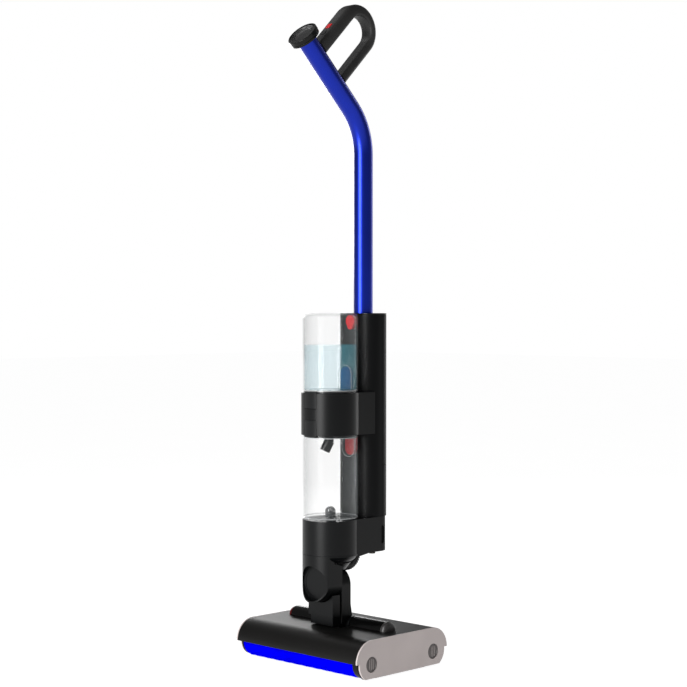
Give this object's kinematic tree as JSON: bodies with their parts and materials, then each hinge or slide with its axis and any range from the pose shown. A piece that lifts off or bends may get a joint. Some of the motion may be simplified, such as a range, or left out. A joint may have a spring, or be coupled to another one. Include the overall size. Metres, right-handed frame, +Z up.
{
  "type": "wet floor scrubber",
  "caption": "Upright cordless wet floor scrubber: wide two-roller head, jointed neck, stacked clear water tanks on a spine, bent wand with round display and loop handle.",
  "frame": {"origin": "on the floor, under the centre of the head", "axes": "+Z up, -Y to the tank side, which is the front, +X to the end of the head with no tray, along the rollers"},
  "size_m": [0.3, 0.2262, 1.1562],
  "materials": {
    "chassis": "moulded matt black plastic",
    "head_cover": "satin black plastic",
    "cap_grey": "satin warm grey plastic",
    "cap_dark": "satin dark grey plastic",
    "rail_rubber": "matt black rubber",
    "tray_plastic": "matt dark grey plastic",
    "microfibre": "short dense fibre pile",
    "core_plastic": "matt black plastic",
    "white_plastic": "natural nylon",
    "bearing_steel": "turned steel",
    "motor_steel": "plated steel can",
    "screw_steel": "zinc plated steel",
    "gloss_black": "gloss black plastic",
    "red_plastic": "satin red plastic",
    "axle_steel": "ground steel",
    "frame_black": "satin black plastic",
    "hose_rubber": "ribbed dark rubber",
    "clear_tank": "clear moulded plastic",
    "tank_black": "black moulded plastic",
    "filter_blue": "blue plastic frame with fine mesh",
    "spine_black": "satin near-black plastic",
    "cell_wrap": "shrink wrapped cell",
    "board_green": "circuit board",
    "contact_brass": "dark plated contact",
    "wand_blue": "satin metallic blue",
    "screen_glass": "dark display window",
    "grip_rubber": "matt dark grey grip"
  },
  "bodies": {
    "head": {"chassis": "chassis", "head_cover": "head_cover", "end_cap_right": "cap_grey", "end_cap_left": "cap_grey", "skid_rails": "rail_rubber", "roller_caps": "cap_dark", "front_motor": "motor_steel", "rear_motor": "motor_steel", "scraper_blades": "rail_rubber", "water_bars": "core_plastic", "head_screws": "screw_steel", "hinge_housing_left": "gloss_black", "hinge_housing_right": "gloss_black", "hinge_end_cap": "cap_dark"},
    "front_roller": {"front_sleeve": "microfibre", "front_core": "core_plastic", "front_drive_hub": "white_plastic", "front_idle_bearing": "bearing_steel"},
    "rear_roller": {"rear_sleeve": "microfibre", "rear_core": "core_plastic", "rear_drive_hub": "white_plastic", "rear_idle_bearing": "bearing_steel"},
    "debris_drawer": {"debris_tray": "tray_plastic"},
    "tray_release": {"tray_release_button": "red_plastic"},
    "neck": {"neck_yoke": "frame_black", "neck_arm": "frame_black", "neck_screws": "screw_steel", "swivel_pin": "axle_steel", "neck_hose": "hose_rubber", "recline_axle": "axle_steel"},
    "body": {"swivel_housing": "frame_black", "swivel_cover": "frame_black", "base_ring": "frame_black", "pumps": "motor_steel", "tank_collar": "frame_black", "spine_front": "spine_black", "spine_rear_upper": "spine_black", "spine_rear_lower": "spine_black", "spine_cap": "gloss_black", "battery_cells": "cell_wrap", "control_board": "board_green", "charge_contacts": "contact_brass", "wand_socket": "core_plastic", "wand_tube": "wand_blue", "display_housing": "gloss_black", "display_screen": "screen_glass", "handle_left": "grip_rubber", "handle_right": "grip_rubber"},
    "dirty_water_tank": {"dirty_tank": "clear_tank", "dirty_tank_lid": "tank_black", "vent_duct": "tank_black", "inlet_dome": "clear_tank"},
    "tank_float": {"float_ball": "tank_black"},
    "clean_water_tank": {"clean_tank": "clear_tank", "clean_tank_base": "tank_black", "outlet_filter": "filter_blue"},
    "dirty_latch": {"dirty_tank_latch": "red_plastic"},
    "clean_latch": {"clean_tank_latch": "red_plastic"},
    "power_key": {"power_button": "red_plastic"},
    "mode_key": {"mode_button": "frame_black"}
  },
  "joints": [
    {"name": "front_roller_spin", "type": "hinge", "parent": "head", "child": "front_roller", "pos_m": [0, -0.077, 0.027], "axis": [1, 0, 0], "continuous": true},
    {"name": "rear_roller_spin", "type": "hinge", "parent": "head", "child": "rear_roller", "pos_m": [0, 0.077, 0.027], "axis": [1, 0, 0], "continuous": true},
    {"name": "debris_tray_slide", "type": "slide", "parent": "head", "child": "debris_drawer", "axis": [-1, 0, 0], "range_m": [0, 0.3]},
    {"name": "tray_release_press", "type": "slide", "parent": "head", "child": "tray_release", "axis": [1, 0, 0], "range_m": [0, 0.003], "stiffness_N_per_m": 800},
    {"name": "recline", "type": "hinge", "parent": "head", "child": "neck", "pos_m": [0, 0, 0.067], "axis": [-1, 0, 0], "range_deg": [0, 70]},
    {"name": "swivel", "type": "hinge", "parent": "neck", "child": "body", "pos_m": [0, -0.045, 0.1435], "axis": [0, 1, 0], "range_deg": [-30, 30]},
    {"name": "dirty_tank_slide", "type": "slide", "parent": "body", "child": "dirty_water_tank", "axis": [0, -1, 0], "range_m": [0, 0.13]},
    {"name": "clean_tank_lift", "type": "slide", "parent": "body", "child": "clean_water_tank", "axis": [0, 0, 1], "range_m": [0, 0.05]},
    {"name": "float_rise", "type": "slide", "parent": "dirty_water_tank", "child": "tank_float", "axis": [0, 0, 1], "range_m": [0, 0.006]},
    {"name": "dirty_latch_press", "type": "slide", "parent": "body", "child": "dirty_latch", "axis": [0, 1, 0], "range_m": [0, 0.0025], "stiffness_N_per_m": 800},
    {"name": "clean_latch_press", "type": "slide", "parent": "body", "child": "clean_latch", "axis": [0, 1, 0], "range_m": [0, 0.0025], "stiffness_N_per_m": 800},
    {"name": "power_press", "type": "slide", "parent": "body", "child": "power_key", "axis": [0, 0.7071, -0.7071], "range_m": [0, 0.0015], "stiffness_N_per_m": 800},
    {"name": "mode_press", "type": "slide", "parent": "body", "child": "mode_key", "axis": [0, 0.7071, -0.7071], "range_m": [0, 0.0015], "stiffness_N_per_m": 800}
  ]
}
